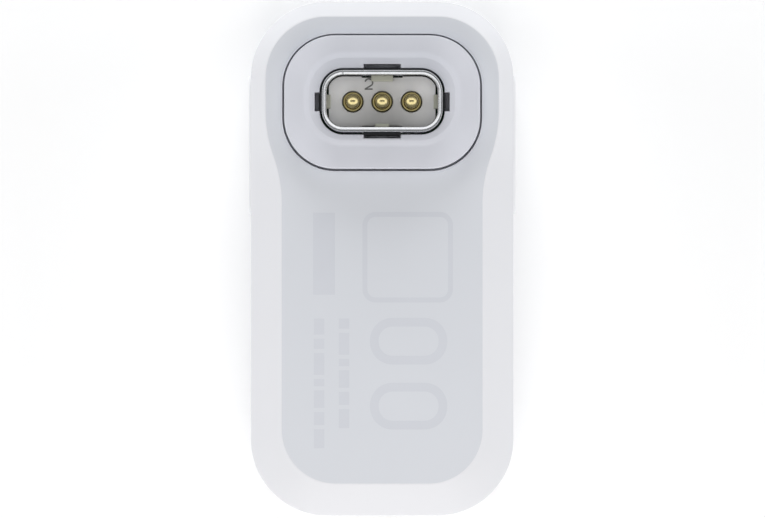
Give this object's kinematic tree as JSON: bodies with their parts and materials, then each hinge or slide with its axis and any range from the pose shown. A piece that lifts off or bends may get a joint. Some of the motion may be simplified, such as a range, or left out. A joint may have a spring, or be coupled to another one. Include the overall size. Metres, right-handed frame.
{
  "type": "watch charging adapter",
  "caption": "Flat white dongle with a sprung-pin watch charging plug in a raised collar, and a USB-C port in the end wall.",
  "frame": {"origin": "centre of the flat front face that the adapter lies on", "axes": "+Z out of the plug, +Y along the case towards the plug end, +X to the right seen from the plug side"},
  "size_m": [0.0186, 0.0354, 0.0102],
  "materials": {
    "case_plastic": "fine spark-eroded white",
    "cover_plastic": "fine spark-eroded white",
    "adhesive": "cured, slightly cloudy",
    "boss_plastic": "satin white",
    "plug_steel": "bright drawn stainless steel",
    "insulator_plastic": "milky, slightly see-through",
    "board": "green solder mask",
    "port_steel": "bright nickel-plated steel",
    "port_plastic": "dark moulded plastic",
    "port_plate": "stamped stainless steel",
    "contact_gold": "gold-plated",
    "resistor": "black film on ceramic",
    "diode": "black epoxy",
    "capacitor": "tan ceramic",
    "fuse": "green laminate",
    "solder": "bright solder",
    "pin_gold": "gold-plated, turned",
    "plunger_gold": "gold-plated, turned, domed",
    "spring_wire": "drawn spring wire",
    "pad_plastic": "soft-touch white"
  },
  "bodies": {
    "adapter": {"lower_case": "case_plastic", "upper_cover": "cover_plastic", "seam_adhesive": "adhesive", "plug_boss": "boss_plastic", "plug_shell": "plug_steel", "plug_insulator": "insulator_plastic", "main_pcb": "board", "usb_shell": "port_steel", "usb_insulator": "port_plastic", "usb_mid_plate": "port_plate", "usb_contacts_upper": "contact_gold", "usb_contacts_lower": "contact_gold", "cc_resistor_1": "resistor", "cc_resistor_2": "resistor", "tvs_diode": "diode", "input_capacitor": "capacitor", "input_fuse": "fuse", "solder_joints": "solder", "pin_barrel_1": "pin_gold", "pin_spring_1": "spring_wire", "pin_barrel_2": "pin_gold", "pin_spring_2": "spring_wire", "pin_barrel_3": "pin_gold", "pin_spring_3": "spring_wire", "grip_pad_left": "pad_plastic", "grip_pad_right": "pad_plastic"},
    "pin_1": {"pin_plunger_1": "plunger_gold"},
    "pin_2": {"pin_plunger_2": "plunger_gold"},
    "pin_3": {"pin_plunger_3": "plunger_gold"}
  },
  "joints": [
    {"name": "pin_1_press", "type": "slide", "parent": "adapter", "child": "pin_1", "axis": [0, 0, -1], "range_m": [0, 0.0006], "stiffness_N_per_m": 600, "springref_m": -0.0005, "deforming": ["pin_spring_1"]},
    {"name": "pin_2_press", "type": "slide", "parent": "adapter", "child": "pin_2", "axis": [0, 0, -1], "range_m": [0, 0.0006], "stiffness_N_per_m": 600, "springref_m": -0.0005, "deforming": ["pin_spring_2"]},
    {"name": "pin_3_press", "type": "slide", "parent": "adapter", "child": "pin_3", "axis": [0, 0, -1], "range_m": [0, 0.0006], "stiffness_N_per_m": 600, "springref_m": -0.0005, "deforming": ["pin_spring_3"]}
  ]
}
